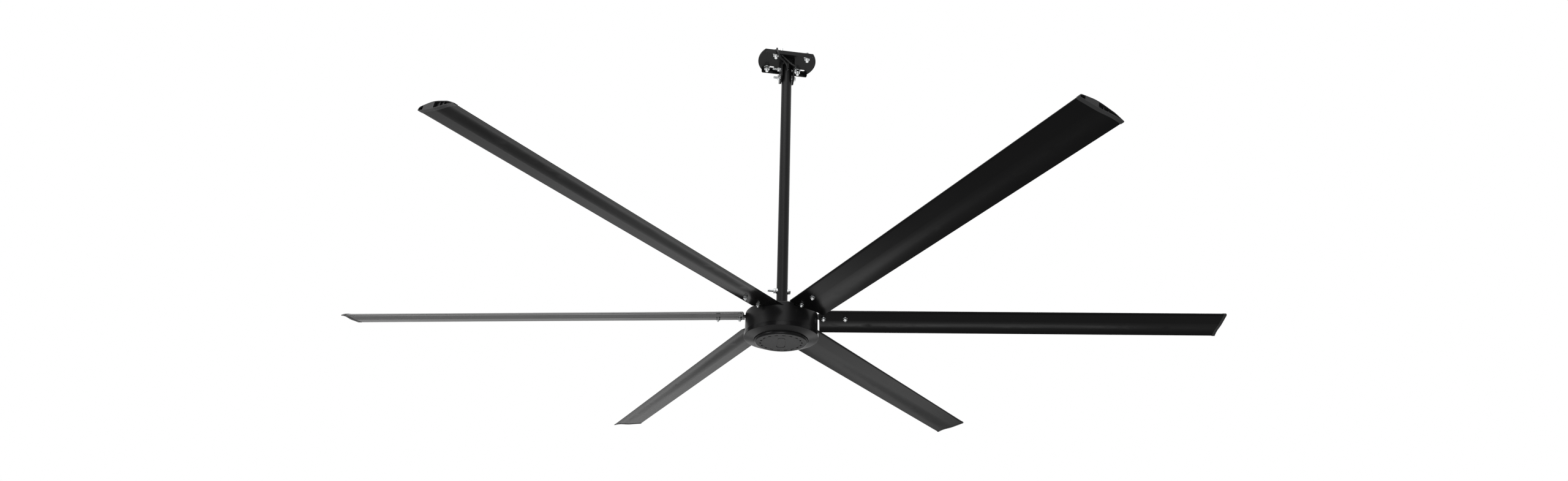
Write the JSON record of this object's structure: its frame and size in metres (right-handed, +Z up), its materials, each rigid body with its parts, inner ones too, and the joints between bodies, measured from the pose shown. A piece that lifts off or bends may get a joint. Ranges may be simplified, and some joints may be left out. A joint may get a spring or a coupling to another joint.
{
  "type": "high volume low speed fan",
  "caption": "large slow ceiling fan with long cambered blades on steel arms round a flat direct drive hub, hung from a down rod, a U yoke and a folded ceiling plate",
  "frame": {"origin": "centre of the ceiling plate's top face, which lies against the ceiling", "axes": "+Z up out of the plate's top face; X along the yoke's cross bolts and the plate's flanges; Y across the two flanges, the near one at -Y"},
  "size_m": [2.4172, 2.3356, 0.9734],
  "materials": {
    "black_paint": "semi-gloss black powder coat on steel and cast aluminium",
    "black_trim": "smooth gloss black coat on the spun ring and the cap",
    "black_arm": "black coat on steel bar",
    "blade_black": "semi-gloss black coat on extruded aluminium",
    "tip_plastic": "dark grey moulded plastic",
    "zinc": "bright zinc plate",
    "bare_steel": "ground steel",
    "core_steel": "laminated electrical steel",
    "copper": "enamelled copper wire",
    "magnet": "nickel plated magnets",
    "cast_aluminium": "bare casting",
    "board_green": "green solder mask",
    "component_black": "moulded packages",
    "cable_sheath": "black PVC sheath",
    "rope_sheath": "black plastic coated wire rope",
    "seal_rubber": "black rubber"
  },
  "bodies": {
    "hanger": {"ceiling_plate": "black_paint", "hanger_yoke": "black_paint", "ceiling_washers": "zinc", "ceiling_nuts": "zinc", "ceiling_studs": "zinc", "cross_bolts": "zinc", "cross_bolt_nuts": "zinc", "cross_bolt_washers": "zinc", "rod_saddles": "zinc", "downrod": "black_paint", "motor_shaft": "bare_steel", "shaft_circlip": "bare_steel", "bearing_inner_rings": "bare_steel", "stator_core": "core_steel", "stator_windings": "copper", "stator_carrier": "cast_aluminium", "driver_board": "board_green", "board_components": "component_black", "board_standoffs": "zinc", "board_screws": "zinc", "rod_lead": "cable_sheath", "supply_cable": "cable_sheath", "safety_rope": "rope_sheath", "rope_terminal": "zinc", "rope_eyelet": "zinc"},
    "rotor": {"motor_housing": "black_paint", "dust_seal": "seal_rubber", "rotor_ring": "bare_steel", "magnets": "magnet", "end_shield": "black_paint", "trim_ring": "black_trim", "hub_cap": "black_trim", "cap_clips": "zinc", "shield_screws": "zinc", "trim_screws": "zinc", "bearing_outer_rings": "bare_steel", "bearing_balls": "bare_steel", "arm_screws": "zinc", "blade_bolts": "zinc", "blade_nuts": "zinc", "blade_washers": "zinc", "blade_1": "blade_black", "tip_cap_1": "tip_plastic", "blade_arm_1": "black_arm", "blade_2": "blade_black", "tip_cap_2": "tip_plastic", "blade_arm_2": "black_arm", "blade_3": "blade_black", "tip_cap_3": "tip_plastic", "blade_arm_3": "black_arm", "blade_4": "blade_black", "tip_cap_4": "tip_plastic", "blade_arm_4": "black_arm", "blade_5": "blade_black", "tip_cap_5": "tip_plastic", "blade_arm_5": "black_arm", "blade_6": "blade_black", "tip_cap_6": "tip_plastic", "blade_arm_6": "black_arm"}
  },
  "joints": [
    {"name": "rotor_spin", "type": "hinge", "parent": "hanger", "child": "rotor", "pos_m": [0, 0, -0.889], "axis": [0, 0, 1], "continuous": true}
  ]
}
